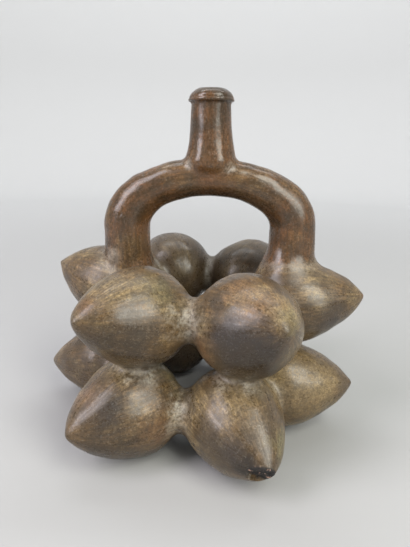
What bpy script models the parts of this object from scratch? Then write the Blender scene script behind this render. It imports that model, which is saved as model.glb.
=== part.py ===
"""Stirrup-spout vessel of burnished clay, formed as twelve pointed fruits in two stacked rings.

The vessel is one hollow piece. Six fruits in each ring point outwards round an open middle, the
upper ring sits on the lower one, and a stirrup rises from the two upper fruits on the X axis to
carry the spout. X runs along the stirrup, Y from front to back and Z up. The origin is on the
ground, below the middle of the vessel's outer box.
"""

import math
from collections import namedtuple

import bmesh
import bpy
from mathutils import Matrix, Vector

MM = 0.001
MERGE = 0.00001

# Where the middle of the rings stands from the origin
MIDDLE_X = 5.8 * MM
MIDDLE_Y = 0.5 * MM

# The fired wall, and the clay worked in between neighbours and round the stirrup's feet
WALL = 4.5 * MM
NOSE_WALL = 5.9 * MM
FILLET = 6.0 * MM
LEFT_FOOT_FILLET = 10.0 * MM
RIGHT_FOOT_FILLET = 16.0 * MM

# A collar of worked-in clay starts just under the skin, and its core tucks into both forms
COLLAR_SINK = 0.4 * MM
COLLAR_TUCK = 2.2 * MM
COLLAR_CORE_SHARE = 0.7

# The stirrup: a round tube on a rounded arch between two upright legs
STIRRUP_TURN = math.radians(3.0)
STIRRUP_SHIFT_X = 2.7 * MM
HALF_SPAN = 55.0 * MM
SPRING_HEIGHT = 135.0 * MM
CROWN_HEIGHT = 166.8 * MM
ARCH_SQUARENESS = 2.2
ARCH_FULLNESS = 1.95
LEG_RADIUS = 15.1 * MM
CROWN_RADIUS = 11.7 * MM
FOOT_BALL_HEIGHT = 124.0 * MM

# The spout: a tapering neck with a spread foot and a rolled lip
SPOUT_TOP = 220.0 * MM
LIP_RADIUS = 14.6 * MM
LIP_WIDEST_HEIGHT = 215.4 * MM
LIP_UNDER_HEIGHT = 211.8 * MM
NECK_TOP_RADIUS = 12.4 * MM
NECK_FOOT_RADIUS = 14.7 * MM
NECK_FOOT_HEIGHT = 184.0 * MM
ROOT_RADIUS = 15.8 * MM
ROOT_HEIGHT = 177.0 * MM
ROOT_DEPTH = 10.0 * MM
SPREAD_RADIUS = 19.0 * MM
SPREAD_HEIGHT = 177.5 * MM
SPREAD_DEPTH = 6.0 * MM
SPREAD_FLATTENING = 0.7
MOUTH_RADIUS = 8.2 * MM
MOUTH_ROUNDING = 1.3 * MM

# The broken nose of the lower front right fruit, and how far back the break lies
BREAK_DEPTH = 3.0 * MM
BREAK_SLANT = math.radians(42.0)
BREAK_TURN = math.radians(-40.0)
BREAK_SIZE = 30.0 * MM
GROUND_SIZE = 400.0 * MM

# How finely the forms are faceted
FRUIT_SIDES = 18
BALL_BANDS = 4
NOSE_BANDS = 5
HOLLOW_SIDES = 9
HOLLOW_BALL_BANDS = 3
HOLLOW_NOSE_BANDS = 3
COLLAR_SIDES = 10
COLLAR_BANDS = 2
TUBE_BEVEL_RESOLUTION = 5
BORE_BEVEL_RESOLUTION = 3
ARCH_STEPS = 14
SPOUT_SIDES = 18
LIP_STEPS = 3
LIP_UNDER_STEPS = 2
ROOT_STEPS = 3
SPREAD_STEPS = 3
BORE_SIDES = 10
PORT_SIDES = 7

# A fruit's columns: bearing and reach of its centre from the middle, height of its centre,
# heading and rise of its nose, radius of its round end, length of its nose from its centre, and
# how far the flanks of the nose are drawn in from a plain ogive. Degrees and millimetres.
Fruit = namedtuple("Fruit", "bearing reach height heading rise radius nose drawn_in")

UPPER_RING = (
    Fruit(358.0, 58.5, 85.5, 357.0, 8.0, 28.0, 48.5, 0.10),
    Fruit(61.0, 58.0, 85.5, 58.0, 11.0, 29.0, 48.5, 0.20),
    Fruit(118.0, 60.5, 88.5, 117.0, 13.0, 29.0, 48.5, 0.20),
    Fruit(175.0, 60.0, 88.5, 175.0, 19.0, 28.5, 49.5, 0.20),
    Fruit(236.0, 58.5, 88.5, 235.0, 13.0, 30.0, 49.0, 0.35),
    Fruit(299.0, 59.0, 87.0, 298.0, 18.0, 30.5, 47.0, 0.25),
)
LOWER_RING = (
    Fruit(348.5, 55.5, 28.6, 354.0, 7.0, 29.5, 48.0, 0.30),
    Fruit(56.5, 57.0, 29.1, 55.0, 0.0, 30.0, 49.0, 0.30),
    Fruit(118.0, 61.0, 29.1, 115.0, 0.0, 30.0, 49.0, 0.30),
    Fruit(173.5, 66.0, 29.1, 179.0, -4.0, 30.0, 52.5, 0.40),
    Fruit(233.5, 65.5, 30.1, 232.0, 2.0, 31.0, 47.0, 0.50),
    Fruit(292.5, 60.0, 29.1, 296.0, -5.0, 30.0, 50.0, 0.40),
)
RING_COUNT = len(UPPER_RING)
RIGHT = 0
LEFT = 3
BROKEN = 5

Ball = namedtuple("Ball", "centre radius")


def clear_scene():
    """Empties the file of objects, so that only the vessel is in it."""
    for thing in list(bpy.data.objects):
        bpy.data.objects.remove(thing, do_unlink=True)


def add_collection(name):
    """Adds a collection to the scene."""
    collection = bpy.data.collections.new(name)
    bpy.context.scene.collection.children.link(collection)
    return collection


def as_guide(thing):
    """Marks an object as a shape that only adds to the vessel or cuts it."""
    thing.hide_render = True
    thing.display_type = "WIRE"


def ellipse_arc(centre, half_width, half_height, start, end, steps):
    """Points (radius, height) on part of an ellipse, from one angle to another in degrees."""
    points = []
    for step in range(steps + 1):
        angle = math.radians(start + (end - start) * step / steps)
        radius = centre[0] + half_width * math.cos(angle)
        height = centre[1] + half_height * math.sin(angle)
        points.append((radius, height))
    return points


def turned(name, outline, sides, placement, collection):
    """Turns an outline of (radius, height) points, listed from the top down, about its own axis."""
    mesh = bpy.data.meshes.new(name)
    edges = [(index, index + 1) for index in range(len(outline) - 1)]
    mesh.from_pydata([(radius, 0.0, height) for radius, height in outline], edges, [])
    thing = bpy.data.objects.new(name, mesh)
    thing.matrix_world = placement
    collection.objects.link(thing)
    screw = thing.modifiers.new("turn", "SCREW")
    screw.steps = sides
    screw.render_steps = sides
    screw.use_merge_vertices = True
    screw.merge_threshold = MERGE
    as_guide(thing)
    return thing


def placed_along(origin, axis):
    """A placement whose Z runs along the axis and whose X points as nearly down as it can."""
    along = Vector(axis).normalized()
    down = Vector((0.0, 0.0, -1.0))
    if abs(along.z) > 0.99:
        down = Vector((1.0, 0.0, 0.0))
    across = (down - along * down.dot(along)).normalized()
    third = along.cross(across)
    turn = Matrix((across, third, along)).transposed()
    return Matrix.Translation(origin) @ turn.to_4x4()


def fruit_centre(fruit):
    """Where the widest section of a fruit has its middle."""
    bearing = math.radians(fruit.bearing)
    reach = fruit.reach * MM
    x = MIDDLE_X + reach * math.cos(bearing)
    y = MIDDLE_Y + reach * math.sin(bearing)
    return Vector((x, y, fruit.height * MM))


def fruit_axis(fruit):
    """The direction in which a fruit's nose points."""
    heading = math.radians(fruit.heading)
    rise = math.radians(fruit.rise)
    level = math.cos(rise)
    return Vector((level * math.cos(heading), level * math.sin(heading), math.sin(rise)))


def fruit_ball(fruit):
    """The round end of a fruit."""
    return Ball(fruit_centre(fruit), fruit.radius * MM)


def fruit_outline(radius, nose, drawn_in, nose_bands, ball_bands):
    """A pointed nose on a half ball: an ogive whose flanks are drawn in a little, tip first."""
    sweep = (nose * nose + radius * radius) / (2.0 * radius)
    outline = [(0.0, nose)]
    for band in range(nose_bands - 1, -1, -1):
        share = math.sin(math.radians(90.0) * band / nose_bands)
        height = nose * share
        ogive = math.sqrt(sweep * sweep - height * height) - (sweep - radius)
        flank = ogive - drawn_in * radius * share * share * (1.0 - share)
        outline.append((flank, height))
    outline += ellipse_arc((0.0, 0.0), radius, radius, 0.0, -90.0, ball_bands)[1:-1]
    outline.append((0.0, -radius))
    return outline


def add_fruit(name, fruit, collection):
    """One fruit with its outer skin."""
    outline = fruit_outline(fruit.radius * MM, fruit.nose * MM, fruit.drawn_in, NOSE_BANDS, BALL_BANDS)
    placement = placed_along(fruit_centre(fruit), fruit_axis(fruit))
    return turned(name, outline, FRUIT_SIDES, placement, collection)


def add_fruit_hollow(name, fruit, collection):
    """The space inside one fruit, a wall's thickness in from its skin."""
    radius = fruit.radius * MM - WALL
    nose = fruit.nose * MM - NOSE_WALL
    outline = fruit_outline(radius, nose, fruit.drawn_in, HOLLOW_NOSE_BANDS, HOLLOW_BALL_BANDS)
    placement = placed_along(fruit_centre(fruit), fruit_axis(fruit))
    return turned(name, outline, HOLLOW_SIDES, placement, collection)


def collar_waist(ball_a, ball_b, fillet):
    """Where the fillet circle between two balls has its centre: (along the axis, off the axis)."""
    apart = (ball_b.centre - ball_a.centre).length
    radius_a, radius_b = ball_a.radius, ball_b.radius
    along = apart * apart + radius_a ** 2 - radius_b ** 2 + 2.0 * fillet * (radius_a - radius_b)
    along = along / (2.0 * apart)
    return along, math.sqrt((radius_a + fillet) ** 2 - along * along)


def add_collar(name, ball_a, ball_b, fillet, collection):
    """The clay between two round forms: a fillet that runs out just under the skin of both."""
    ball_a = Ball(ball_a.centre, ball_a.radius - COLLAR_SINK)
    ball_b = Ball(ball_b.centre, ball_b.radius - COLLAR_SINK)
    apart = (ball_b.centre - ball_a.centre).length
    along, off = collar_waist(ball_a, ball_b, fillet)
    to_a = math.degrees(math.atan2(-off, -along))
    to_b = math.degrees(math.atan2(-off, apart - along))
    fillet_arc = []
    for step in range(COLLAR_BANDS + 1):
        angle = math.radians(to_b + (to_a - to_b) * step / COLLAR_BANDS)
        fillet_arc.append((off + fillet * math.sin(angle), along + fillet * math.cos(angle)))
    top_radius, top = fillet_arc[0]
    base_radius, base = fillet_arc[-1]
    top += COLLAR_TUCK
    base -= COLLAR_TUCK
    outline = [(0.0, top), (top_radius * COLLAR_CORE_SHARE, top)]
    outline += fillet_arc
    outline += [(base_radius * COLLAR_CORE_SHARE, base), (0.0, base)]
    placement = placed_along(ball_a.centre, ball_b.centre - ball_a.centre)
    return turned(name, outline, COLLAR_SIDES, placement, collection)


def add_port(name, ball_a, ball_b, collection):
    """The opening through the clay between two fruits."""
    along, off = collar_waist(ball_a, ball_b, FILLET)
    radius = off - FILLET - WALL
    reach_a = math.sqrt((ball_a.radius - WALL) ** 2 - radius ** 2) - WALL
    reach_b = math.sqrt((ball_b.radius - WALL) ** 2 - radius ** 2) - WALL
    top = (ball_b.centre - ball_a.centre).length - reach_b
    outline = [(0.0, top), (radius, top), (radius, reach_a), (0.0, reach_a)]
    placement = placed_along(ball_a.centre, ball_b.centre - ball_a.centre)
    return turned(name, outline, PORT_SIDES, placement, collection)


def stirrup_point(across, height):
    """A point of the stirrup's plane, given as its distance from the spout's axis and its height."""
    x = MIDDLE_X + STIRRUP_SHIFT_X + across * math.cos(STIRRUP_TURN)
    y = MIDDLE_Y + across * math.sin(STIRRUP_TURN)
    return Vector((x, y, height))


def stirrup_path(left_foot, right_foot, leg_radius, crown_radius):
    """The stirrup's centreline from its left foot to its right, as (point, radius) pairs."""
    path = [(stirrup_point(-HALF_SPAN, left_foot), leg_radius)]
    rise = CROWN_HEIGHT - SPRING_HEIGHT
    for step in range(ARCH_STEPS + 1):
        angle = math.pi * (1.0 - step / ARCH_STEPS)
        sideways = abs(math.cos(angle)) ** (2.0 / ARCH_SQUARENESS)
        upwards = math.sin(angle) ** (2.0 / ARCH_FULLNESS) if 0 < step < ARCH_STEPS else 0.0
        across = math.copysign(HALF_SPAN * sideways, math.cos(angle))
        radius = leg_radius + (crown_radius - leg_radius) * upwards ** 2
        path.append((stirrup_point(across, SPRING_HEIGHT + rise * upwards), radius))
    path.append((stirrup_point(HALF_SPAN, right_foot), leg_radius))
    return path


def weld_mesh(mesh):
    """Joins the loose caps of a tube to its sides."""
    work = bmesh.new()
    work.from_mesh(mesh)
    bmesh.ops.remove_doubles(work, verts=work.verts, dist=MERGE)
    bmesh.ops.recalc_face_normals(work, faces=work.faces)
    work.to_mesh(mesh)
    work.free()


def add_tube(name, path, bevel_resolution, collection):
    """A round tube along a path, made a closed mesh."""
    curve = bpy.data.curves.new(name, "CURVE")
    curve.dimensions = "3D"
    curve.bevel_depth = 1.0
    curve.bevel_resolution = bevel_resolution
    curve.use_fill_caps = True
    spline = curve.splines.new("POLY")
    spline.points.add(len(path) - 1)
    for place, (point, radius) in zip(spline.points, path):
        place.co = (point.x, point.y, point.z, 1.0)
        place.radius = radius
    guide = bpy.data.objects.new(name + "_curve", curve)
    collection.objects.link(guide)
    graph = bpy.context.evaluated_depsgraph_get()
    mesh = bpy.data.meshes.new_from_object(guide.evaluated_get(graph))
    tube = bpy.data.objects.new(name, mesh)
    tube.matrix_world = guide.matrix_world
    collection.objects.link(tube)
    bpy.data.objects.remove(guide, do_unlink=True)
    weld_mesh(mesh)
    as_guide(tube)
    return tube


def spout_placement():
    """The spout's upright axis, over the middle of the stirrup."""
    return Matrix.Translation(stirrup_point(0.0, 0.0))


def add_spout(collection):
    """The tapering neck, with a rolled lip on top and a rounded root sunk into the stirrup."""
    lip_rise = SPOUT_TOP - LIP_WIDEST_HEIGHT
    lip_width = LIP_RADIUS - MOUTH_RADIUS - MOUTH_ROUNDING
    lip_middle = (LIP_RADIUS - lip_width, LIP_WIDEST_HEIGHT)
    outline = [(0.0, SPOUT_TOP)]
    outline += ellipse_arc(lip_middle, lip_width, lip_rise, 90.0, 0.0, LIP_STEPS)
    under_width = LIP_RADIUS - NECK_TOP_RADIUS
    under_drop = LIP_WIDEST_HEIGHT - LIP_UNDER_HEIGHT
    under_middle = (NECK_TOP_RADIUS, LIP_WIDEST_HEIGHT)
    outline += ellipse_arc(under_middle, under_width, under_drop, 0.0, -90.0, LIP_UNDER_STEPS)[1:]
    outline.append((NECK_FOOT_RADIUS, NECK_FOOT_HEIGHT))
    outline += ellipse_arc((0.0, ROOT_HEIGHT), ROOT_RADIUS, ROOT_DEPTH, 0.0, -90.0, ROOT_STEPS)
    return turned("spout", outline, SPOUT_SIDES, spout_placement(), collection)


def add_spout_spread(collection):
    """The clay that spreads from the spout's root along the crown of the stirrup, to both sides."""
    middle = (SPREAD_RADIUS, NECK_FOOT_HEIGHT)
    width = SPREAD_RADIUS - NECK_FOOT_RADIUS
    drop = NECK_FOOT_HEIGHT - SPREAD_HEIGHT
    outline = [(0.0, NECK_FOOT_HEIGHT)]
    outline += ellipse_arc(middle, width, drop, 180.0, 270.0, SPREAD_STEPS)
    outline.append((NECK_FOOT_RADIUS, SPREAD_HEIGHT - SPREAD_DEPTH))
    outline.append((0.0, SPREAD_HEIGHT - SPREAD_DEPTH))
    flatten = Matrix.Diagonal((1.0, SPREAD_FLATTENING, 1.0, 1.0))
    turn = Matrix.Rotation(STIRRUP_TURN, 4, "Z")
    placement = spout_placement() @ turn @ flatten
    return turned("spout_spread", outline, SPOUT_SIDES, placement, collection)


def add_spout_bore(collection):
    """The channel from the mouth down into the stirrup."""
    outline = [
        (0.0, SPOUT_TOP + WALL),
        (MOUTH_RADIUS, SPOUT_TOP + WALL),
        (MOUTH_RADIUS, LIP_UNDER_HEIGHT),
        (NECK_FOOT_RADIUS - WALL, NECK_FOOT_HEIGHT),
        (CROWN_RADIUS - WALL, CROWN_HEIGHT),
        (0.0, CROWN_HEIGHT),
    ]
    return turned("spout_bore", outline, BORE_SIDES, spout_placement(), collection)


def foot_balls():
    """The round forms where the stirrup's legs meet the left and the right upper fruit."""
    left = Ball(stirrup_point(-HALF_SPAN, FOOT_BALL_HEIGHT), LEG_RADIUS)
    right = Ball(stirrup_point(HALF_SPAN, FOOT_BALL_HEIGHT), LEG_RADIUS)
    return left, right


def add_clay_forms(collection):
    """Every solid form that is joined into the vessel."""
    for ring_name, ring in (("upper", UPPER_RING), ("lower", LOWER_RING)):
        for index, fruit in enumerate(ring):
            neighbour = ring[(index + 1) % RING_COUNT]
            add_fruit(f"{ring_name}_fruit_{index}", fruit, collection)
            collar_name = f"{ring_name}_collar_{index}"
            add_collar(collar_name, fruit_ball(fruit), fruit_ball(neighbour), FILLET, collection)
    for index, (lower, upper) in enumerate(zip(LOWER_RING, UPPER_RING)):
        add_collar(f"level_collar_{index}", fruit_ball(lower), fruit_ball(upper), FILLET, collection)
    left_foot, right_foot = foot_balls()
    left_ball = fruit_ball(UPPER_RING[LEFT])
    right_ball = fruit_ball(UPPER_RING[RIGHT])
    add_collar("left_foot", left_ball, left_foot, LEFT_FOOT_FILLET, collection)
    add_collar("right_foot", right_ball, right_foot, RIGHT_FOOT_FILLET, collection)
    path = stirrup_path(left_ball.centre.z, right_ball.centre.z, LEG_RADIUS, CROWN_RADIUS)
    add_tube("stirrup", path, TUBE_BEVEL_RESOLUTION, collection)
    add_spout_spread(collection)


def add_hollow_forms(collection):
    """Every space that is taken out to leave the wall."""
    for ring_name, ring in (("upper", UPPER_RING), ("lower", LOWER_RING)):
        for index, fruit in enumerate(ring):
            neighbour = ring[(index + 1) % RING_COUNT]
            add_fruit_hollow(f"{ring_name}_hollow_{index}", fruit, collection)
            add_port(f"{ring_name}_port_{index}", fruit_ball(fruit), fruit_ball(neighbour), collection)
    for index in (LEFT, RIGHT):
        lower_ball = fruit_ball(LOWER_RING[index])
        add_port(f"level_port_{index}", lower_ball, fruit_ball(UPPER_RING[index]), collection)
    left_ball = fruit_ball(UPPER_RING[LEFT])
    right_ball = fruit_ball(UPPER_RING[RIGHT])
    left_end = left_ball.centre.z + left_ball.radius / 2.0
    right_end = right_ball.centre.z + right_ball.radius / 2.0
    path = stirrup_path(left_end, right_end, LEG_RADIUS - WALL, CROWN_RADIUS - WALL)
    add_tube("stirrup_bore", path, BORE_BEVEL_RESOLUTION, collection)


def add_block(name, size, placement, collection):
    """A box that cuts the vessel, with the middle of its top face at the placement."""
    bpy.ops.mesh.primitive_cube_add(size=size)
    block = bpy.context.active_object
    block.name = name
    for owner in list(block.users_collection):
        owner.objects.unlink(block)
    collection.objects.link(block)
    block.data.transform(Matrix.Translation((0.0, 0.0, -size / 2.0)))
    block.matrix_world = placement
    as_guide(block)
    return block


def add_breaks(collection):
    """The ground plane that the fruits are worn flat on, and the break at one nose."""
    add_block("ground", GROUND_SIZE, Matrix.Identity(4), collection)
    broken = LOWER_RING[BROKEN]
    axis = fruit_axis(broken)
    place = fruit_centre(broken) + axis * (broken.nose * MM - BREAK_DEPTH)
    slant = Matrix.Rotation(BREAK_TURN, 4, "Z") @ Matrix.Rotation(math.pi + BREAK_SLANT, 4, "Y")
    add_block("break", BREAK_SIZE, placed_along(place, axis) @ slant, collection)


def add_boolean(thing, name, operation, operand):
    """Joins a solid with, or cuts it by, one object or a whole collection."""
    boolean = thing.modifiers.new(name, "BOOLEAN")
    boolean.operation = operation
    boolean.solver = "EXACT"
    if isinstance(operand, bpy.types.Collection):
        boolean.operand_type = "COLLECTION"
        boolean.collection = operand
    else:
        boolean.object = operand


def fired_clay():
    """Burnished brown earthenware."""
    material = bpy.data.materials.new("burnished_clay")
    material.use_nodes = True
    surface = material.node_tree.nodes["Principled BSDF"]
    surface.inputs["Base Color"].default_value = (0.13, 0.085, 0.06, 1.0)
    surface.inputs["Roughness"].default_value = 0.42
    surface.inputs["Metallic"].default_value = 0.0
    return material


def build_vessel():
    """Joins the clay forms to the spout, hollows them and cuts the seats and the broken nose."""
    vessel_collection = add_collection("stirrup_spout_vessel")
    clay_collection = add_collection("clay_forms")
    hollow_collection = add_collection("hollow_forms")
    break_collection = add_collection("seats_and_breaks")
    cutter_collection = add_collection("cutters")
    add_clay_forms(clay_collection)
    add_hollow_forms(hollow_collection)
    add_breaks(break_collection)
    hollow = add_spout_bore(cutter_collection)
    add_boolean(hollow, "join_hollows", "UNION", hollow_collection)
    vessel = add_spout(vessel_collection)
    vessel.name = "stirrup_vessel"
    vessel.hide_render = False
    vessel.display_type = "TEXTURED"
    vessel.data.materials.append(fired_clay())
    add_boolean(vessel, "join_clay", "UNION", clay_collection)
    add_boolean(vessel, "hollow_out", "DIFFERENCE", hollow)
    add_boolean(vessel, "seats_and_breaks", "DIFFERENCE", break_collection)


def main():
    """Models the vessel."""
    clear_scene()
    build_vessel()


main()
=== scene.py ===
"""Dressed model of a stirrup-spout vessel of burnished clay, formed as twelve pointed fruits.

The fired clay is one piece. Its raw forms are turned and extruded and pressed together into one
skin, which is then drawn onto the true surface: fruits, stirrup and spout, with clay worked into
the joins between them. The hollow is taken out last. Lengths are in metres.
"""

import copy
import math

import bmesh
import bpy
import numpy as np
from mathutils import Matrix, Vector


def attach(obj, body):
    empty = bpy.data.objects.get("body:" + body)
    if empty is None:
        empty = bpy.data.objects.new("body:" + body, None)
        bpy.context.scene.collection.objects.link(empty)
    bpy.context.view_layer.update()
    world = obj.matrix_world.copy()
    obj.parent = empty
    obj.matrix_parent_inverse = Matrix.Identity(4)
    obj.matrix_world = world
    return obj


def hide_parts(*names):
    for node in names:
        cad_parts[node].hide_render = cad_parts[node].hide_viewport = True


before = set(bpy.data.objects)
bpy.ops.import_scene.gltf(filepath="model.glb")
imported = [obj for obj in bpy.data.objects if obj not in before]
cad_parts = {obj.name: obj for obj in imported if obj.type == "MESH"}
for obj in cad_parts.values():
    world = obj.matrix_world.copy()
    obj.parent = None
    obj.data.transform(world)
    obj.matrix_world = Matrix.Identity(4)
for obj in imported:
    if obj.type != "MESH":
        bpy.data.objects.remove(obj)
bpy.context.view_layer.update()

MM = 0.001
UP = Vector((0.0, 0.0, 1.0))

# Where the middle of the rings stands from the origin
MIDDLE = Vector((5.8, 0.5, 0.0)) * MM

# A fruit: bearing and reach of its centre, height, heading and rise of its nose, radius of its
# round end, length of its nose, and how far its flanks are drawn in. Degrees and millimetres.
UPPER_RING = (
    (358.0, 58.5, 85.5, 357.0, 8.5, 28.0, 49.0, 0.28),
    (61.0, 58.0, 85.5, 58.0, 11.0, 29.0, 48.5, 0.20),
    (118.0, 60.5, 88.5, 117.0, 13.0, 29.0, 48.5, 0.20),
    (175.0, 60.0, 88.5, 175.0, 19.0, 28.5, 49.8, 0.30),
    (236.0, 58.5, 88.5, 235.0, 13.0, 30.0, 49.0, 0.35),
    (299.0, 59.0, 87.0, 298.0, 18.0, 30.5, 47.0, 0.25),
)
LOWER_RING = (
    (348.5, 55.5, 28.6, 354.0, 7.0, 29.5, 48.8, 0.40),
    (56.5, 57.0, 29.1, 55.0, 0.0, 30.0, 49.0, 0.30),
    (118.0, 61.0, 29.1, 115.0, 0.0, 30.0, 49.0, 0.30),
    (173.5, 66.0, 29.1, 179.0, -4.0, 30.0, 52.5, 0.40),
    (233.5, 65.5, 30.1, 232.0, 2.0, 31.0, 47.0, 0.50),
    (292.5, 60.0, 29.1, 296.0, -5.0, 30.0, 50.0, 0.40),
)
RIGHT = 0
LEFT = 3
BROKEN = 5

# The fired wall, and the clay worked into the joins
WALL = 4.5 * MM
NOSE_WALL = 5.9 * MM
FILLET = 6.0 * MM
NECK_RADIUS = 13.2 * MM
NECK_FILLET = 4.5 * MM
PORT_RADIUS = 9.0 * MM
TIP_BLUNTNESS = 0.3 * MM
TIP_ROUNDING = 1.2 * MM

# The stirrup: a round tube on a rounded arch between two upright legs
STIRRUP_TURN = math.radians(3.0)
STIRRUP_ACROSS = Vector((-math.sin(STIRRUP_TURN), math.cos(STIRRUP_TURN), 0.0))
STIRRUP_MIDDLE = MIDDLE + Vector((2.7, 0.0, 0.0)) * MM
HALF_SPAN = 55.0 * MM
SPRING_HEIGHT = 135.0 * MM
CROWN_HEIGHT = 166.8 * MM
ARCH_SQUARENESS = 2.2
ARCH_FULLNESS = 1.95
LEG_RADIUS = 15.1 * MM
CROWN_RADIUS = 11.7 * MM
ARCH_STEPS = 48

# How widely the clay spreads round the stirrup's feet, from left to right: (x, fillet radius)
FOOT_FILLETS = ((-60.0, 2.5), (-40.0, 9.0), (45.0, 17.0), (58.0, 14.0), (76.0, 8.0))

# The spout, from its mouth down: height, radius of its outer side, and its bore
SPOUT_TOP = 220.0 * MM
LIP_UNDERSIDE = 211.9 * MM
LIP_DOME = (3.0 * MM, 213.4 * MM)
LIP_DOME_SIZE = (11.2 * MM, 7.4 * MM)
LIP_DOME_ENDS = (62.0, 14.0)
LIP_GROOVE = (13.5 * MM, 214.75 * MM)
LIP_RIM = (13.45 * MM, 213.4 * MM)
LIP_RIM_RADIUS = 1.15 * MM
MOUTH_RADIUS = 8.2 * MM
NECK = ((211.9, 12.5), (204.0, 12.8), (196.0, 13.2), (189.0, 13.8), (183.0, 14.9), (179.0, 15.9))
ROOT_RADIUS = 16.2 * MM
ROOT_HEIGHT = 177.0 * MM
ROOT_DEPTH = 10.0 * MM
SPOUT_FILLET = 3.0 * MM
SPOUT_REGION = 160.0 * MM
LEGS_REGION = 96.0 * MM

# The broken nose of the lower front right fruit
BREAK_DEPTH = 3.0 * MM
BREAK_FACING = Vector((-0.04, -0.89, -0.57)).normalized()
BREAK_ROUGHNESS = 0.35 * MM
BREAK_HOLLOW = 0.9 * MM
BREAK_REGION = 11.0 * MM

# The hand's unevenness: (how far the skin wanders, over what length), in millimetres
WANDER = ((0.30, 34.0), (0.12, 13.0))
WANDER_WAVES = 14

# How finely the skin and the hollow are meshed
SKIN_VOXEL = 1.85 * MM
HOLLOW_VOXEL = 4.5 * MM
FRUIT_SIDES = 40
FRUIT_BANDS = 24
TUBE_SIDES = 28
SPOUT_SIDES = 48
BAR_SIDES = 20
SKIN_ROUNDS = 5
PROBE = 0.05 * MM
MAX_STEP = 2.0 * MM
MERGE = 0.01 * MM

# Where the skin is split finer: how far round the place, and in how many cuts
LIP_REGION = 208.0 * MM
LIP_CUTS = 2
TIP_REGION = 4.5 * MM
TIP_CUTS = 2
BREAK_CUTS = 3
PIT_CUTS = 2

# An edge sharper than this stays crisp
SHARP_ANGLE = math.radians(40.0)

# Over what distance the fruits' finish gives way to the stirrup's
HANDLE_BLEND = 8.0 * MM

# How much slower the burnished strokes change along a form than across it
STROKE_STRETCH = 0.12

# The camera: lens and sensor in millimetres, its place, and its heading, tilt and roll in radians
CAMERA_LENS = 28.96
CAMERA_SENSOR = 36.0
CAMERA_CLIP = (0.01, 20.0)
CAMERA_PLACE = Vector((0.0317, -0.2883, 0.1878))
CAMERA_TURNS = (0.0887, 0.287, 0.0144)

# The stage: a pale sweep, an even surround, a tall soft light on each side and one for the wall.
# A light's place, what it faces, its size, its power and its colour.
SWEEP_FLAT = 1.25
SWEEP_CURVE = 0.5
SWEEP_HEIGHT = 2.0
SWEEP_SIDES = 96
FLOOR_COLOUR = (0.372, 0.377, 0.380, 1.0)
WALL_COLOUR = (0.545, 0.551, 0.556, 1.0)
FLOOR_BLEND = (0.35, 1.45)
SURROUND_COLOUR = (1.0, 1.0, 1.0, 1.0)
SURROUND_STRENGTH = 0.45
LIGHTS = {
    "left_light": ((-0.84, -0.54, 0.88), (0.0, 0.0, 0.25), (0.50, 1.2), 17.0, (1.0, 0.94, 0.99)),
    "right_light": ((0.70, -0.70, 0.88), (0.0, 0.0, 0.25), (0.60, 1.2), 19.0, (1.0, 0.99, 0.89)),
    "wall_light": ((0.0, 0.60, 1.90), (0.0, 1.75, 0.45), (2.0, 0.3), 22.0, (0.97, 0.99, 1.0)),
}

# Small pits: place, width and depth in millimetres
PITS = (
    ((-23.1, -80.6, 38.0), 0.8, 0.5),
    ((-46.7, -16.7, 144.4), 0.9, 0.5),
    ((26.1, -3.3, 176.4), 1.0, 0.5),
    ((68.3, -32.9, 46.3), 0.7, 0.4),
    ((-42.0, -82.5, 106.1), 0.6, 0.3),
    ((-40.3, -82.1, 106.0), 0.6, 0.3),
)


class Fruit:
    """One pointed fruit: a round end, and a nose that runs out along its axis."""

    def __init__(self, bearing, reach, height, heading, rise, radius, nose, drawn_in):
        turn = math.radians(bearing)
        across = Vector((math.cos(turn), math.sin(turn), 0.0)) * reach * MM
        self.centre = MIDDLE + across + UP * height * MM
        way = math.radians(heading)
        lift = math.radians(rise)
        level = math.cos(lift)
        self.axis = Vector((level * math.cos(way), level * math.sin(way), math.sin(lift)))
        self.radius = radius * MM
        self.nose = nose * MM
        self.pull = drawn_in * self.radius

    def inside(self):
        """The space inside the fruit, a wall's thickness in."""
        hollow = copy.copy(self)
        hollow.radius = self.radius - WALL
        hollow.nose = self.nose - NOSE_WALL
        return hollow

    def flank(self, height):
        """The nose's half width at heights along it, and the slope of the flank there."""
        sweep = (self.nose ** 2 + self.radius ** 2) / (2.0 * self.radius)
        share = height / self.nose
        root = np.sqrt(sweep ** 2 - height ** 2)
        width = root - (sweep - self.radius) - self.pull * share ** 2 * (1.0 - share)
        slope = -height / root - self.pull * (2.0 * share - 3.0 * share ** 2) / self.nose
        return width, slope

    def measure(self, points):
        """How far points stand off the fruit's skin, along its axis and away from its axis."""
        rel = points - np.array(self.centre)
        along = rel @ np.array(self.axis)
        off = np.linalg.norm(rel - along[:, None] * np.array(self.axis), axis=1)
        ball = np.hypot(along, off) - self.radius
        width, slope = self.flank(np.clip(along, 0.0, self.nose))
        past = np.clip(along - self.nose, 0.0, None)
        nose = (off - width - slope * past) / np.sqrt(1.0 + slope ** 2)
        cap = along - (self.nose - TIP_BLUNTNESS)
        nose = -joined(-nose, -cap, TIP_ROUNDING)
        return np.where(along < 0.0, ball, nose), along, off


def joined(one, other, fillet):
    """Two distances as one: the nearer of them, with a round fillet where both are near."""
    into = np.hypot(np.maximum(fillet - one, 0.0), np.maximum(fillet - other, 0.0))
    return np.maximum(fillet, np.minimum(one, other)) - into


UPPER = [Fruit(*row) for row in UPPER_RING]
LOWER = [Fruit(*row) for row in LOWER_RING]
FRUITS = UPPER + LOWER

# Each fruit with the next one round its ring, and where the necks of clay between them run
NEIGHBOURS = [pair for ring in (UPPER, LOWER) for pair in zip(ring, ring[1:] + ring[:1])]
NECK_ENDS = [np.array([fruit.centre for fruit in side]) for side in zip(*NEIGHBOURS)]


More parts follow.
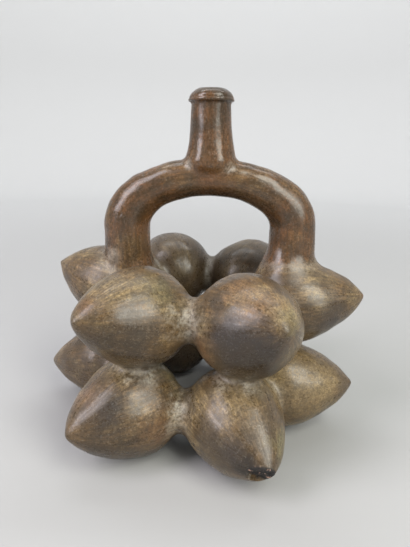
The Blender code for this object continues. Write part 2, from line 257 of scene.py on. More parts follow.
def stirrup_place(across, height):
    """A point of the stirrup's plane, by its distance from the spout's axis and its height."""
    way = Vector((math.cos(STIRRUP_TURN), math.sin(STIRRUP_TURN), 0.0))
    return STIRRUP_MIDDLE + way * across + UP * height


def stirrup_path(left_foot, right_foot, thinner=0.0):
    """The stirrup's centreline from its left foot to its right, as (point, radius) pairs."""
    path = [(stirrup_place(-HALF_SPAN, left_foot), LEG_RADIUS - thinner)]
    for step in range(ARCH_STEPS + 1):
        angle = math.pi * (1.0 - step / ARCH_STEPS)
        sideways = abs(math.cos(angle)) ** (2.0 / ARCH_SQUARENESS)
        upwards = abs(math.sin(angle)) ** (2.0 / ARCH_FULLNESS)
        across = math.copysign(HALF_SPAN * sideways, math.cos(angle))
        height = SPRING_HEIGHT + (CROWN_HEIGHT - SPRING_HEIGHT) * upwards
        radius = LEG_RADIUS + (CROWN_RADIUS - LEG_RADIUS) * upwards ** 2
        path.append((stirrup_place(across, height), radius - thinner))
    path.append((stirrup_place(HALF_SPAN, right_foot), LEG_RADIUS - thinner))
    return path


def arc(centre, width, height, start, end, steps):
    """Points (radius, height) on part of an ellipse, from one angle to another in degrees."""
    angles = [math.radians(start + (end - start) * step / steps) for step in range(steps + 1)]
    return [(centre[0] + width * math.cos(a), centre[1] + height * math.sin(a)) for a in angles]


def spout_outline():
    """The spout's (radius, height) points from the middle of its top down to its root."""
    points = [(0.0, SPOUT_TOP)]
    points += arc(LIP_DOME, *LIP_DOME_SIZE, *LIP_DOME_ENDS, 7)
    points.append(LIP_GROOVE)
    points += arc(LIP_RIM, LIP_RIM_RADIUS, LIP_RIM_RADIUS, 55.0, -80.0, 6)
    neck = [(radius * MM, height * MM) for height, radius in NECK]
    points += neck
    points += arc((0.0, ROOT_HEIGHT), ROOT_RADIUS, ROOT_DEPTH, 0.0, -90.0, 9)
    return points


SPOUT_OUTLINE = spout_outline()
STIRRUP = stirrup_path(UPPER[LEFT].centre.z, UPPER[RIGHT].centre.z)


def off_segments(points, starts, ends):
    """How far points lie from each of a row of straight stretches, and where along each."""
    run = ends - starts
    rel = points[:, None, :] - starts[None, :, :]
    share = np.clip((rel * run).sum(2) / (run * run).sum(1), 0.0, 1.0)
    return np.linalg.norm(rel - share[:, :, None] * run, axis=2), share


def measure_stirrup(points):
    """How far points stand off the stirrup's skin, how far along it, and to which side."""
    places = np.array([point for point, radius in STIRRUP])
    radii = np.array([radius for point, radius in STIRRUP])
    reach = np.linalg.norm(np.diff(places, axis=0), axis=1)
    starts = np.concatenate(([0.0], np.cumsum(reach)))
    off, share = off_segments(points, places[:-1], places[1:])
    off -= radii[:-1] + (radii[1:] - radii[:-1]) * share
    near = off.argmin(axis=1)
    rows = np.arange(len(points))
    share = share[rows, near]
    run = np.diff(places, axis=0)[near]
    rel = points - places[near] - run * share[:, None]
    outward = np.cross(np.array(STIRRUP_ACROSS), run / reach[near][:, None])
    sides = np.stack((rel @ np.array(STIRRUP_ACROSS), (rel * outward).sum(1)), 1)
    return off[rows, near], starts[near] + reach[near] * share, sides


def measure_spout(points):
    """How far points stand off the spout's skin, and to which side of its axis they lie."""
    foot = np.array(stirrup_place(0.0, 0.0))
    sides = (points - foot)[:, :2]
    flat = np.stack((np.linalg.norm(sides, axis=1), points[:, 2]), 1)
    outline = np.array(SPOUT_OUTLINE)
    off = off_segments(flat, outline[:-1], outline[1:])[0].min(axis=1)
    upwards = outline[::-1]
    half_width = np.interp(flat[:, 1], upwards[:, 1], upwards[:, 0], left=-1.0, right=-1.0)
    return np.where(flat[:, 0] < half_width, -off, off), sides


def waves(points, length, seed):
    """A smooth field without direction, between about -1 and 1, that changes over a length."""
    draw = np.random.default_rng(seed)
    ways = draw.normal(size=(WANDER_WAVES, 3))
    ways /= np.linalg.norm(ways, axis=1)[:, None]
    ways *= 2.0 * math.pi / length * draw.uniform(0.7, 1.4, (WANDER_WAVES, 1))
    starts = draw.uniform(0.0, 2.0 * math.pi, WANDER_WAVES)
    return np.sin(points @ ways.T + starts).sum(1) / math.sqrt(WANDER_WAVES)


def skin_distance(points):
    """How far points stand off the vessel's true outer surface."""
    skin = FRUITS[0].measure(points)[0]
    for fruit in FRUITS[1:]:
        skin = joined(skin, fruit.measure(points)[0], FILLET)
    necks = off_segments(points, *NECK_ENDS)[0].min(axis=1) - NECK_RADIUS
    skin = joined(skin, necks, NECK_FILLET)
    high = np.nonzero(points[:, 2] > LEGS_REGION)[0]
    legs = measure_stirrup(points[high])[0]
    places, fillets = np.array(FOOT_FILLETS).T * MM
    fillet = np.interp(points[high, 0], places, fillets)
    skin[high] = joined(skin[high], legs, fillet)
    top = np.nonzero(points[:, 2] > SPOUT_REGION)[0]
    skin[top] = joined(skin[top], measure_spout(points[top])[0], SPOUT_FILLET)
    for seed, (amount, length) in enumerate(WANDER):
        skin += amount * MM * waves(points, length * MM, seed)
    return np.maximum(skin, -points[:, 2])


def draw_to_skin(mesh, rounds):
    """Moves each point of the raw skin straight onto the true surface."""
    points = read_points(mesh)
    for _ in range(rounds):
        here = skin_distance(points)
        slope = np.empty_like(points)
        for axis in range(3):
            beside = points.copy()
            beside[:, axis] += PROBE
            slope[:, axis] = (skin_distance(beside) - here) / PROBE
        steepness = np.maximum((slope ** 2).sum(1), 0.2)
        step = np.clip(here, -MAX_STEP, MAX_STEP) / steepness
        points -= slope * step[:, None]
    mesh.vertices.foreach_set("co", points.ravel())
    mesh.update()


def read_points(mesh):
    """A mesh's points as rows of x, y and z."""
    points = np.empty(len(mesh.vertices) * 3)
    mesh.vertices.foreach_get("co", points)
    return points.reshape(-1, 3)


def press_in(clay, form, placement):
    """Adds one finished form to the clay."""
    bmesh.ops.remove_doubles(form, verts=form.verts, dist=MERGE)
    bmesh.ops.recalc_face_normals(form, faces=form.faces)
    form.transform(placement)
    lump = bpy.data.meshes.new("lump")
    form.to_mesh(lump)
    form.free()
    clay.from_mesh(lump)
    bpy.data.meshes.remove(lump)


def press_fruit(clay, fruit):
    """A ball whose outer half is drawn out into the fruit's nose."""
    form = bmesh.new()
    bmesh.ops.create_uvsphere(form, u_segments=FRUIT_SIDES, v_segments=FRUIT_BANDS, radius=1.0)
    for vert in form.verts:
        ring = max(math.hypot(vert.co.x, vert.co.y), MERGE)
        if vert.co.z > 0.0:
            height = fruit.nose * min(vert.co.z, 1.0)
            widen = fruit.flank(height)[0] / ring
            vert.co = Vector((vert.co.x * widen, vert.co.y * widen, height))
        else:
            vert.co *= fruit.radius
    turn = fruit.axis.to_track_quat("Z", "X").to_matrix().to_4x4()
    press_in(clay, form, Matrix.Translation(fruit.centre) @ turn)


def press_bar(clay, one, other, radius):
    """A round bar between the middles of two fruits: the clay, or the way through it."""
    form = bmesh.new()
    run = other.centre - one.centre
    bmesh.ops.create_cone(form, cap_ends=True, segments=BAR_SIDES, radius1=radius,
                          radius2=radius, depth=run.length)
    turn = run.to_track_quat("Z", "X").to_matrix().to_4x4()
    press_in(clay, form, Matrix.Translation((one.centre + other.centre) / 2.0) @ turn)


def press_tube(clay, path):
    """A round tube along a path of (point, radius) pairs, closed at both ends."""
    form = bmesh.new()
    ring = bmesh.ops.create_circle(form, segments=TUBE_SIDES, radius=1.0)["verts"]
    standing = Matrix.Identity(4)
    for index, (place, radius) in enumerate(path):
        if index:
            rim = [edge for edge in form.edges if edge.verts[0] in ring and edge.verts[1] in ring]
            grown = bmesh.ops.extrude_edge_only(form, edges=rim)["geom"]
            ring = [part for part in grown if isinstance(part, bmesh.types.BMVert)]
        before = path[max(index - 1, 0)][0]
        after = path[min(index + 1, len(path) - 1)][0]
        along = (after - before).normalized()
        frame_rows = (STIRRUP_ACROSS.cross(along), STIRRUP_ACROSS, along)
        turn = Matrix(frame_rows).transposed().to_4x4()
        stand = Matrix.Translation(place) @ turn @ Matrix.Scale(radius, 4)
        bmesh.ops.transform(form, matrix=stand @ standing.inverted(), verts=ring)
        standing = stand
    bmesh.ops.holes_fill(form, edges=form.edges, sides=TUBE_SIDES)
    press_in(clay, form, Matrix.Identity(4))


def press_turned(clay, outline):
    """A form turned about the spout's axis from (radius, height) points."""
    form = bmesh.new()
    verts = [form.verts.new((radius, 0.0, height)) for radius, height in outline]
    edges = [form.edges.new(pair) for pair in zip(verts, verts[1:])]
    bmesh.ops.spin(form, geom=verts + edges, cent=(0.0, 0.0, 0.0), axis=UP, angle=math.tau,
                   steps=SPOUT_SIDES, use_merge=True)
    press_in(clay, form, Matrix.Translation(stirrup_place(0.0, 0.0)))


def settle(thing):
    """Makes a piece's modifiers part of its mesh."""
    graph = bpy.context.evaluated_depsgraph_get()
    settled = bpy.data.meshes.new_from_object(thing.evaluated_get(graph))
    before = thing.data
    thing.modifiers.clear()
    thing.data = settled
    bpy.data.meshes.remove(before)


def skin_round(name, clay, voxel):
    """One closed skin round everything that was pressed together."""
    mesh = bpy.data.meshes.new(name)
    clay.to_mesh(mesh)
    clay.free()
    thing = bpy.data.objects.new(name, mesh)
    bpy.context.scene.collection.objects.link(thing)
    remesh = thing.modifiers.new("skin", "REMESH")
    remesh.mode = "VOXEL"
    remesh.voxel_size = voxel
    settle(thing)
    return thing


def raw_vessel():
    """The vessel's outer forms pressed together."""
    clay = bmesh.new()
    for fruit in FRUITS:
        press_fruit(clay, fruit)
    for pair in NEIGHBOURS:
        press_bar(clay, *pair, NECK_RADIUS)
    press_tube(clay, STIRRUP)
    press_turned(clay, SPOUT_OUTLINE)
    return skin_round("vessel", clay, SKIN_VOXEL)


def raw_hollow():
    """The space inside: one hollow for each fruit, the ways between them and the bores."""
    clay = bmesh.new()
    for fruit in FRUITS:
        press_fruit(clay, fruit.inside())
    for pair in NEIGHBOURS:
        press_bar(clay, *pair, PORT_RADIUS)
    for index in (LEFT, RIGHT):
        press_bar(clay, LOWER[index], UPPER[index], PORT_RADIUS)
    press_tube(clay, stirrup_path(UPPER[LEFT].centre.z, UPPER[RIGHT].centre.z, WALL))
    return skin_round("hollow", clay, HOLLOW_VOXEL)


def bore_outline():
    """The channel from the mouth down into the stirrup, as (radius, height) points."""
    return [
        (0.0, SPOUT_TOP + WALL),
        (MOUTH_RADIUS, SPOUT_TOP + WALL),
        (MOUTH_RADIUS, LIP_UNDERSIDE),
        (ROOT_RADIUS - 1.5 * WALL, ROOT_HEIGHT + ROOT_DEPTH),
        (CROWN_RADIUS - WALL, CROWN_HEIGHT),
        (0.0, CROWN_HEIGHT),
    ]


def small_work():
    """Where the skin carries small work, as (place, reach, cuts): tips, the break and the pits."""
    spots = []
    for fruit in FRUITS:
        broken = fruit is LOWER[BROKEN]
        reach, cuts = (BREAK_REGION, BREAK_CUTS) if broken else (TIP_REGION, TIP_CUTS)
        spots.append((fruit.centre + fruit.axis * fruit.nose, reach, cuts))
    for place, width, depth in PITS:
        spots.append((Vector(place) * MM, 3.0 * width * MM, PIT_CUTS))
    return spots


def refine(mesh):
    """Splits the skin's faces where it carries small work."""
    work = bmesh.new()
    work.from_mesh(mesh)
    rim = [edge for edge in work.edges if min(vert.co.z for vert in edge.verts) > LIP_REGION]
    bmesh.ops.subdivide_edges(work, edges=rim, cuts=LIP_CUTS, use_grid_fill=True)
    for place, reach, cuts in small_work():
        close = {vert for vert in work.verts if (vert.co - place).length < reach}
        near = [edge for edge in work.edges if close.issuperset(edge.verts)]
        bmesh.ops.subdivide_edges(work, edges=near, cuts=cuts, use_grid_fill=True)
    bmesh.ops.triangulate(work, faces=work.faces)
    work.to_mesh(mesh)
    work.free()
    mesh.update()


def break_nose(points):
    """Slides the broken nose's end back along its axis onto the rough face of the break."""
    fruit = LOWER[BROKEN]
    axis, facing = np.array(fruit.axis), np.array(BREAK_FACING)
    place = np.array(fruit.centre + fruit.axis * (fruit.nose - BREAK_DEPTH))
    rel = points - place
    out = rel @ facing
    ends = np.nonzero((out > 0.0) & (np.linalg.norm(rel, axis=1) < BREAK_REGION))[0]
    points[ends] -= axis * (out[ends] / (axis @ facing))[:, None]
    rough = waves(points[ends], 4.6 * MM, 11) + 0.5 * waves(points[ends], 1.9 * MM, 12)
    share = np.clip(out[ends] / BREAK_DEPTH, 0.0, 1.0)
    sunk = BREAK_ROUGHNESS * rough * np.sqrt(share) - BREAK_HOLLOW * share
    points[ends] += facing * sunk[:, None]


def dent_pits(points, outward):
    """Presses the small pits into the skin."""
    for place, width, depth in PITS:
        off = np.linalg.norm(points - np.array(place) * MM, axis=1) / (width * MM)
        points -= outward * (depth * MM * np.exp(-off ** 2))[:, None]


def read_normals(mesh):
    """The skin's outward direction at each of its points."""
    normals = np.empty(len(mesh.vertices) * 3)
    mesh.vertex_normals.foreach_get("vector", normals)
    return normals.reshape(-1, 3)


def write_points(mesh, points):
    """Moves a mesh's points."""
    mesh.vertices.foreach_set("co", points.ravel())
    mesh.update()


def cut_out(piece, cutter):
    """Takes one closed form out of another, and removes it."""
    cut = piece.modifiers.new("cut", "BOOLEAN")
    cut.operation = "DIFFERENCE"
    cut.solver = "EXACT"
    cut.object = cutter
    settle(piece)
    bpy.data.objects.remove(cutter, do_unlink=True)


def bore():
    """The channel from the mouth down into the stirrup, finely turned."""
    form = bmesh.new()
    press_turned(form, bore_outline())
    mesh = bpy.data.meshes.new("bore")
    form.to_mesh(mesh)
    form.free()
    thing = bpy.data.objects.new("bore", mesh)
    bpy.context.scene.collection.objects.link(thing)
    return thing


def describe(points):
    """For each point of the skin: the distance to the next form, how far out on a nose it lies,
    and its place among the burnisher's strokes, which run lengthwise on every form."""
    offs, tips, strokes = [], [], []
    for index, fruit in enumerate(FRUITS):
        off, along, out = fruit.measure(points)
        turn = fruit.axis.to_track_quat("Z", "X").to_matrix()
        sides = (points - np.array(fruit.centre)) @ np.array(turn)[:, :2]
        sides *= (fruit.radius / np.maximum(out, MERGE))[:, None]
        offs.append(off)
        tips.append(along / fruit.nose)
        strokes.append(np.column_stack((sides, along * STROKE_STRETCH + index)))
    off, along, sides = measure_stirrup(points)
    offs.append(off)
    tips.append(np.zeros(len(points)))
    strokes.append(np.column_stack((sides, along * STROKE_STRETCH - 1.0)))
    off, sides = measure_spout(points)
    offs.append(off)
    tips.append(np.zeros(len(points)))
    strokes.append(np.column_stack((sides, points[:, 2] * STROKE_STRETCH - 2.0)))
    offs = np.array(offs)
    near = offs.argmin(axis=0)
    rows = np.arange(len(points))
    fruits, handles = offs[:len(FRUITS)].min(axis=0), offs[len(FRUITS):].min(axis=0)
    handle = np.clip((fruits - handles) / HANDLE_BLEND + 0.5, 0.0, 1.0)
    return {
        "join": np.sort(offs, axis=0)[1] / MM,
        "tip": np.array(tips)[near, rows],
        "handle": handle,
        "broken": broken_share(points),
        "strokes": np.array(strokes)[near, rows] / MM,
    }


def broken_share(points):
    """Where the skin is the face of the break."""
    fruit = LOWER[BROKEN]
    rel = points - np.array(fruit.centre + fruit.axis * (fruit.nose - BREAK_DEPTH))
    sunk = -(rel @ np.array(BREAK_FACING))
    face = np.clip(2.0 - sunk / BREAK_HOLLOW, 0.0, 1.0)
    return face * (np.linalg.norm(rel, axis=1) < BREAK_REGION)


def note_surface(mesh):
    """Writes onto the mesh what the clay's finish follows."""
    for name, values in describe(read_points(mesh)).items():
        kind, key = ("FLOAT", "value") if values.ndim == 1 else ("FLOAT_VECTOR", "vector")
        layer = mesh.attributes.new(name, kind, "POINT")
        layer.data.foreach_set(key, values.ravel())


def make_vessel():
    """The whole fired piece, from its pressed forms to its finished skin."""
    vessel = raw_vessel()
    refine(vessel.data)
    draw_to_skin(vessel.data, SKIN_ROUNDS)
    points = read_points(vessel.data)
    dent_pits(points, read_normals(vessel.data))
    break_nose(points)
    write_points(vessel.data, points)
    cut_out(vessel, raw_hollow())
    cut_out(vessel, bore())
    note_surface(vessel.data)
    vessel.data.shade_smooth()
    vessel.data.set_sharp_from_angle(angle=SHARP_ANGLE)
    vessel.name = "vessel"
    return vessel


def node(tree, kind, **settings):
    """A node of a material or of a group, with its settings."""
    made = tree.nodes.new(kind)
    for name, value in settings.items():
        setattr(made, name, value)
    return made


def feed(tree, values, sockets):
    """Gives each socket its value: another node's output, or a constant."""
    for value, socket in zip(values, sockets):
        if isinstance(value, bpy.types.NodeSocket):
            tree.links.new(value, socket)
        else:
            socket.default_value = value


def calc(tree, operation, *values):
    """A sum, product or other number worked out from others."""
    made = node(tree, "ShaderNodeMath", operation=operation)
    feed(tree, values, made.inputs)
    return made.outputs[0]


def shift(tree, operation, *values):
    """A vector worked out from others."""
    made = node(tree, "ShaderNodeVectorMath", operation=operation)
    feed(tree, values, made.inputs)
    return made.outputs[0]


def scaled(tree, vector, factor):
    """A vector made longer or shorter."""
    made = node(tree, "ShaderNodeVectorMath", operation="SCALE")
    feed(tree, (vector, factor), (made.inputs[0], made.inputs["Scale"]))
    return made.outputs[0]


def window(tree, value, low, high, to_low=0.0, to_high=1.0):
    """A value softly brought from one range to another, and held within it."""
    made = node(tree, "ShaderNodeMapRange", interpolation_type="SMOOTHSTEP")
    feed(tree, (value, low, high, to_low, to_high), made.inputs)
    return made.outputs[0]


def mottle(tree, where, size, detail=3.0, rough=0.5, warp=0.0):
    """Uneven tone, in patches of about a size in millimetres. Puts out a value and a colour."""
    made = node(tree, "ShaderNodeTexNoise")
    values = (where, 1.0 / size, detail, rough, warp)
    names = ("Vector", "Scale", "Detail", "Roughness", "Distortion")
    feed(tree, values, [made.inputs[name] for name in names])
    return made.outputs["Fac"], made.outputs["Color"]


def tint(tree, share, under, over, how="MIX"):
    """One colour laid over another by a share."""
    made = node(tree, "ShaderNodeMix", data_type="RGBA", blend_type=how)
    feed(tree, (share, under, over), (made.inputs[0], made.inputs[6], made.inputs[7]))
    return made.outputs[2]


def ramp(tree, value, stops):
    """A colour read off a row of (place, colour) stops."""
    made = node(tree, "ShaderNodeValToRGB")
    for stop in stops[2:]:
        made.color_ramp.elements.new(0.5)
    for element, (place, colour) in zip(made.color_ramp.elements, stops):
        element.position = place
        element.color = colour
    feed(tree, (value,), made.inputs)
    return made.outputs[0]


def named(tree, name):
    """What was written onto the mesh under a name."""
    made = node(tree, "ShaderNodeAttribute", attribute_name=name)
    return made.outputs["Vector"] if name == "strokes" else made.outputs["Fac"]


def spot_group():
    """The group that gives one soft-edged spot round a place."""
    group = bpy.data.node_groups.new("spot", "ShaderNodeTree")
    group.interface.new_socket("Where", in_out="INPUT", socket_type="NodeSocketVector")
    group.interface.new_socket("Place", in_out="INPUT", socket_type="NodeSocketVector")
    group.interface.new_socket("Reach", in_out="INPUT", socket_type="NodeSocketFloat")
    group.interface.new_socket("Softness", in_out="INPUT", socket_type="NodeSocketFloat")
    group.interface.new_socket("Strength", in_out="INPUT", socket_type="NodeSocketFloat")
    group.interface.new_socket("Mask", in_out="OUTPUT", socket_type="NodeSocketFloat")
    given = node(group, "NodeGroupInput").outputs
    result = node(group, "NodeGroupOutput")
    off = node(group, "ShaderNodeVectorMath", operation="DISTANCE")
    feed(group, (given["Where"], given["Place"]), off.inputs)
    edge = calc(group, "MULTIPLY", given["Reach"], given["Softness"])
    inner = calc(group, "SUBTRACT", given["Reach"], edge)
    outer = calc(group, "ADD", given["Reach"], edge)
    mask = window(group, off.outputs["Value"], inner, outer, given["Strength"], 0.0)
    feed(group, (mask,), result.inputs)
    return group


# Finishes of the clay, as linear colours
TAN = (0.345, 0.248, 0.118, 1.0)
BROWN = (0.200, 0.122, 0.052, 1.0)
GREY_BROWN = (0.098, 0.074, 0.050, 1.0)
DARK = (0.036, 0.024, 0.013, 1.0)
RED_BROWN = (0.170, 0.072, 0.022, 1.0)
ORANGE = (0.250, 0.125, 0.052, 1.0)
OLIVE = (0.210, 0.190, 0.085, 1.0)
SOOT = (0.022, 0.022, 0.026, 1.0)
CHALK = (0.420, 0.405, 0.350, 1.0)
PINK = (0.480, 0.300, 0.230, 1.0)
CHAR = (0.012, 0.010, 0.009, 1.0)

# The clay's mottling: size in millimetres, detail, roughness and warp
BROAD_MOTTLE = (30.0, 4.0, 0.55)
PATCHY_MOTTLE = (8.0, 4.0, 0.6, 0.4)
CLOUDY_MOTTLE = (3.2, 4.0, 0.7, 0.6)
FINE_MOTTLE = (1.6, 4.0, 0.65)
GRAIN_MOTTLE = (0.9, 3.0, 0.7)
STREAK_MOTTLE = (1.5, 3.0, 0.6)
WIDE_STREAK_MOTTLE = (5.0, 3.0, 0.6)
EVEN_TONE = (0.5, 0.5, 0.5)

# The burnish: how rough the fruits and the stirrup are, and how much duller dirt and the break are
FRUIT_ROUGHNESS = 0.33
HANDLE_ROUGHNESS = 0.25
DULLNESS = 0.45

# Relief too small for the mesh, in millimetres
STROKE_RELIEF = 0.05
GRAIN_RELIEF = 0.06
HAND_RELIEF = 0.10

# How far the edges of marks wander, in millimetres. One with a smaller reach keeps close.
MARK_WANDER = 16.0
MARK_QUIVER = 5.0
CLOSE_SHARE = 0.3
SMALL_MARK = 6.0

# Marks of the fire and of use, with painted shade and a painted highlight among them: place in
# millimetres, reach, softness, strength and colour
MARKS_AND_PAINTED_LIGHT = (
    ((35.9, -87.5, 89.4), 14.0, 0.6, 0.92, SOOT),
    ((25.6, -82.7, 93.2), 12.0, 0.6, 0.80, SOOT),
    ((49.1, -89.1, 89.9), 9.0, 0.7, 0.60, SOOT),
    # This one darkens the underside of the upper front right fruit
    ((36.0, -80.0, 74.0), 20.0, 0.6, 0.90, DARK),
    ((42.0, -78.7, 111.4), 9.0, 0.9, 0.35, ORANGE),
    ((12.9, -70.0, 79.5), 7.0, 0.9, 0.45, ORANGE),
    ((30.7, -66.3, 114.8), 8.0, 0.9, 0.35, ORANGE),
    ((53.5, -80.2, 108.8), 8.0, 0.9, 0.50, TAN),
    ((56.9, -83.2, 104.9), 6.0, 0.9, 0.40, OLIVE),
    ((-6.6, -69.0, 85.1), 10.0, 0.9, 0.60, BROWN),
    ((-30.6, -83.3, 86.3), 14.0, 0.8, 0.55, DARK),
    ((-44.3, -86.2, 90.8), 8.0, 0.9, 0.55, DARK),
    ((-14.2, -62.0, 111.4), 9.0, 0.9, 0.40, OLIVE),
    ((-49.2, -80.3, 106.5), 5.0, 0.9, 0.50, RED_BROWN),
    # This one darkens the lower side of the lower front left fruit, near the floor
    ((-34.0, -82.0, 18.0), 20.0, 0.7, 0.50, DARK),
    ((-37.6, -80.2, 47.9), 8.0, 0.9, 0.70, SOOT),
    ((-40.2, -85.6, 40.6), 8.0, 0.9, 0.60, SOOT),
    ((-12.1, -73.5, 30.3), 11.0, 0.9, 0.40, ORANGE),
    ((-12.5, -43.4, 50.4), 10.0, 0.8, 0.60, OLIVE),
    ((22.0, -88.0, 27.7), 14.0, 0.9, 0.70, DARK),
    ((26.0, -90.0, 34.7), 7.0, 0.9, 0.55, SOOT),
    ((31.7, -93.9, 27.7), 7.0, 0.9, 0.65, SOOT),
    ((16.3, -82.2, 37.6), 9.0, 0.9, 0.50, DARK),
    ((55.9, -84.2, 32.8), 7.0, 0.9, 0.60, OLIVE),
    ((87.5, -30.3, 39.6), 9.0, 0.9, 0.60, TAN),
    # Painted highlight: a pale pink tint where the left light's highlight falls on the lower front
    # left fruit
    ((-55.6, -72.8, 48.4), 7.0, 0.9, 0.18, PINK),
    ((88.0, -23.0, 81.8), 10.0, 0.9, 0.60, SOOT),
    # Painted shade: the next two darken the upper back fruits all over, for the shade inside the ring
    ((-22.6, 53.9, 88.5), 44.0, 0.3, 0.60, DARK),
    ((33.9, 51.2, 85.5), 40.0, 0.3, 0.60, DARK),
    ((76.0, -38.0, 46.0), 24.0, 0.7, 0.50, TAN),
    ((32.0, -74.0, 50.0), 16.0, 0.9, 0.22, TAN),
    # Painted shade under the crown of the stirrup
    ((8.5, -2.0, 152.0), 17.0, 0.5, 0.65, DARK),
    # Darkens the top of the lip, and paints shade inside the mouth
    ((8.5, 0.5, 222.0), 15.0, 0.3, 0.60, DARK),
    ((112.0, -4.0, 92.8), 2.6, 0.6, 0.90, RED_BROWN),
    # Painted shade: the next three darken the left and the lower back fruits all over, for the shade
    # inside the ring
    ((-59.8, 8.0, 29.1), 36.0, 0.3, 0.35, DARK),
    ((-22.8, 54.4, 29.1), 42.0, 0.3, 0.70, DARK),
    ((37.3, 48.0, 29.1), 40.0, 0.3, 0.70, DARK),
    ((39.0, -96.5, 25.0), 4.5, 0.5, 0.90, CHAR),
    ((34.5, -95.5, 24.5), 3.5, 0.6, 0.80, CHAR),
    ((38.5, -97.0, 30.0), 4.0, 0.6, 0.85, CHAR),
    ((12.3, -10.6, 169.3), 11.0, 0.9, 0.55, RED_BROWN),
    ((-30.9, -2.5, 137.3), 12.0, 0.9, 0.60, RED_BROWN),
    ((47.9, -10.4, 157.9), 10.0, 0.9, 0.50, DARK),
)
CHALK_MARKS = (
    ((2.3, -64.0, 92.9), 10.0, 0.8, 0.55),
    ((-54.0, -15.1, 117.0), 5.0, 0.9, 0.50),
    ((66.6, -18.4, 107.3), 4.0, 0.9, 0.20),
    ((-3.6, -8.2, 174.9), 3.0, 0.9, 0.55),
    ((20.8, -8.0, 173.5), 3.0, 0.9, 0.45),
    ((-28.1, -64.4, 60.3), 6.0, 0.9, 0.60),
    ((-18.0, -61.4, 57.8), 6.0, 0.9, 0.60),
    ((-1.1, -65.4, 39.8), 7.0, 0.9, 0.75),
    ((-2.8, -67.8, 29.0), 8.0, 0.9, 0.45),
    ((22.5, -65.1, 57.6), 5.0, 0.9, 0.55),
    ((39.6, -66.1, 55.5), 6.0, 0.9, 0.50),
    ((55.0, -40.1, 38.2), 6.0, 0.9, 0.40),
)


def spots(tree, loose, close, marks):
    """The masks of a row of marks, each with its colour where it has one. Small ones keep close."""
    masks = []
    group = bpy.data.node_groups["spot"]
    for place, reach, softness, strength, *colour in marks:
        made = node(tree, "ShaderNodeGroup", node_tree=group)
        where = close if reach < SMALL_MARK else loose
        feed(tree, (where, place, reach, softness, strength), made.inputs)
        masks.append((made.outputs["Mask"], *colour))
    return masks


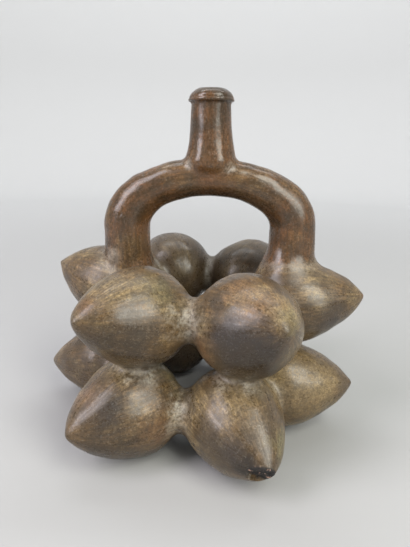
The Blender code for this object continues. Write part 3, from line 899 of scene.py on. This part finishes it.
def clay_finish():
    """The burnished clay: mottled browns, fire clouds, painted shade and a painted highlight among
    its marks, chalky dirt in the joins, a charred break.
    """
    clay = bpy.data.materials.new("burnished_clay")
    clay.use_nodes = True
    tree = clay.node_tree
    shader = tree.nodes["Principled BSDF"]
    where = scaled(tree, node(tree, "ShaderNodeTexCoord").outputs["Object"], 1.0 / MM)
    strokes = named(tree, "strokes")
    join = named(tree, "join")
    handle = named(tree, "handle")
    broken = named(tree, "broken")

    broad = mottle(tree, where, *BROAD_MOTTLE)[0]
    patchy, sway = mottle(tree, where, *PATCHY_MOTTLE)
    cloudy = mottle(tree, where, *CLOUDY_MOTTLE)[0]
    fine, flutter = mottle(tree, where, *FINE_MOTTLE)
    grain = mottle(tree, where, *GRAIN_MOTTLE)[0]
    streak = mottle(tree, strokes, *STREAK_MOTTLE)[0]
    wide_streak = mottle(tree, strokes, *WIDE_STREAK_MOTTLE)[0]

    wander = scaled(tree, shift(tree, "SUBTRACT", sway, EVEN_TONE), MARK_WANDER)
    quiver = scaled(tree, shift(tree, "SUBTRACT", flutter, EVEN_TONE), MARK_QUIVER)
    loose = shift(tree, "ADD", shift(tree, "ADD", where, wander), quiver)
    close = shift(tree, "ADD", where, scaled(tree, quiver, CLOSE_SHARE))

    body = ramp(tree, broad, ((0.30, GREY_BROWN), (0.48, BROWN), (0.62, TAN)))
    red = ramp(tree, broad, ((0.35, DARK), (0.50, RED_BROWN), (0.68, BROWN)))
    colour = tint(tree, handle, body, red)
    dusk = window(tree, patchy, 0.35, 0.60, 0.55, 0.0)
    colour = tint(tree, dusk, colour, DARK)
    colour = tint(tree, window(tree, streak, 0.40, 0.64, 0.55, 0.0), colour, DARK)
    colour = tint(tree, window(tree, named(tree, "tip"), 0.93, 1.0, 0.0, 0.55), colour, DARK)
    # Fire clouds and marks of use, painted shade on the back fruits, under the crown and inside the
    # mouth, and a painted pink highlight
    for mask, mark in spots(tree, loose, close, MARKS_AND_PAINTED_LIGHT):
        colour = tint(tree, mask, colour, mark)
    colour = tint(tree, window(tree, cloudy, 0.36, 0.60, 0.38, 0.0), colour, DARK)
    colour = tint(tree, window(tree, fine, 0.34, 0.56, 0.45, 0.0), colour, DARK)
    colour = tint(tree, window(tree, grain, 0.36, 0.56, 0.45, 0.0), colour, DARK)
    colour = tint(tree, window(tree, grain, 0.56, 0.72, 0.0, 0.24), colour, CHALK)

    dirt = window(tree, join, 2.0, 8.0, 0.32, 0.0)
    dirt = calc(tree, "MULTIPLY", dirt, window(tree, handle, 0.5, 1.0, 1.0, 0.0))
    for mask, in spots(tree, loose, close, CHALK_MARKS):
        dirt = calc(tree, "MAXIMUM", dirt, mask)
    dirt = calc(tree, "MULTIPLY", dirt, window(tree, patchy, 0.30, 0.64))
    dirt = calc(tree, "MULTIPLY", dirt, window(tree, fine, 0.34, 0.60, 0.25, 1.0))
    colour = tint(tree, dirt, colour, CHALK)
    char = tint(tree, window(tree, cloudy, 0.56, 0.64), CHAR, PINK)
    colour = tint(tree, broken, colour, char)

    gloss = window(tree, handle, 0.0, 1.0, FRUIT_ROUGHNESS, HANDLE_ROUGHNESS)
    gloss = calc(tree, "ADD", gloss, window(tree, wide_streak, 0.35, 0.65, 0.08, -0.06))
    gloss = calc(tree, "ADD", gloss, window(tree, fine, 0.40, 0.60, -0.04, 0.06))
    dull = calc(tree, "MAXIMUM", dirt, broken)
    gloss = calc(tree, "ADD", gloss, calc(tree, "MULTIPLY", dull, DULLNESS))

    relief = calc(tree, "MULTIPLY", streak, STROKE_RELIEF)
    relief = calc(tree, "ADD", relief, calc(tree, "MULTIPLY", fine, GRAIN_RELIEF))
    relief = calc(tree, "ADD", relief, calc(tree, "MULTIPLY", patchy, HAND_RELIEF))
    bump = node(tree, "ShaderNodeBump")
    feed(tree, (1.0, MM), (bump.inputs["Strength"], bump.inputs["Distance"]))
    feed(tree, (relief,), (bump.inputs["Height"],))
    names = ("Base Color", "Roughness", "Normal")
    feed(tree, (colour, gloss, bump.outputs[0]), [shader.inputs[name] for name in names])
    return clay


def sweep_finish():
    """Matt pale paper, a little paler towards the wall, so that it looks even in its light."""
    paper = bpy.data.materials.new("pale_paper")
    paper.use_nodes = True
    tree = paper.node_tree
    shader = tree.nodes["Principled BSDF"]
    where = node(tree, "ShaderNodeTexCoord").outputs["Object"]
    reach = node(tree, "ShaderNodeVectorMath", operation="LENGTH")
    feed(tree, (where,), reach.inputs)
    colour = tint(tree, window(tree, reach.outputs["Value"], *FLOOR_BLEND), FLOOR_COLOUR, WALL_COLOUR)
    feed(tree, (colour,), (shader.inputs["Base Color"],))
    shader.inputs["Roughness"].default_value = 0.9
    shader.inputs["Specular IOR Level"].default_value = 0.2
    return paper


def floor_sweep():
    """The pale floor, curved up into a wall all round, with no edge in sight."""
    form = bmesh.new()
    outline = [(0.0, 0.0)]
    outline += arc((SWEEP_FLAT, SWEEP_CURVE), SWEEP_CURVE, SWEEP_CURVE, -90.0, 0.0, 16)
    outline.append((SWEEP_FLAT + SWEEP_CURVE, SWEEP_HEIGHT))
    verts = [form.verts.new((radius, 0.0, height)) for radius, height in outline]
    edges = [form.edges.new(pair) for pair in zip(verts, verts[1:])]
    bmesh.ops.spin(form, geom=verts + edges, cent=(0.0, 0.0, 0.0), axis=UP, angle=math.tau,
                   steps=SWEEP_SIDES, use_merge=True)
    bmesh.ops.remove_doubles(form, verts=form.verts, dist=MERGE)
    bmesh.ops.recalc_face_normals(form, faces=form.faces)
    bmesh.ops.reverse_faces(form, faces=form.faces)
    mesh = bpy.data.meshes.new("floor")
    form.to_mesh(mesh)
    form.free()
    mesh.shade_smooth()
    mesh.materials.append(sweep_finish())
    floor = bpy.data.objects.new("floor", mesh)
    bpy.context.scene.collection.objects.link(floor)


def soft_light(name, place, target, size, power, colour):
    """A tall soft light that faces the vessel."""
    lamp = bpy.data.lights.new(name, "AREA")
    lamp.shape = "RECTANGLE"
    lamp.size, lamp.size_y = size
    lamp.energy = power
    lamp.color = colour
    thing = bpy.data.objects.new(name, lamp)
    bpy.context.scene.collection.objects.link(thing)
    thing.location = place
    thing.rotation_euler = (Vector(target) - Vector(place)).to_track_quat("-Z", "Y").to_euler()
    thing.visible_camera = False


def light_stage():
    """An even soft surround, and a tall soft light on each side."""
    world = bpy.data.worlds.new("surround")
    world.use_nodes = True
    surround = world.node_tree.nodes["Background"]
    surround.inputs["Color"].default_value = SURROUND_COLOUR
    surround.inputs["Strength"].default_value = SURROUND_STRENGTH
    bpy.context.scene.world = world
    for name, row in LIGHTS.items():
        soft_light(name, *row)


def set_camera():
    """The camera, where the photograph was taken from."""
    data = bpy.data.cameras.new("camera")
    data.lens = CAMERA_LENS
    data.sensor_width = CAMERA_SENSOR
    data.clip_start, data.clip_end = CAMERA_CLIP
    camera = bpy.data.objects.new("camera", data)
    bpy.context.scene.collection.objects.link(camera)
    heading, tilt, roll = CAMERA_TURNS
    turn = Matrix.Rotation(heading, 4, "Z") @ Matrix.Rotation(math.pi / 2.0 - tilt, 4, "X")
    turn = turn @ Matrix.Rotation(roll, 4, "Z")
    camera.matrix_world = Matrix.Translation(CAMERA_PLACE) @ turn
    bpy.context.scene.camera = camera


spot_group()
vessel = make_vessel()
vessel.data.materials.append(clay_finish())
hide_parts("stirrup_vessel")
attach(vessel, "root")
floor_sweep()
light_stage()
set_camera()
bpy.context.scene.view_settings.view_transform = "Standard"
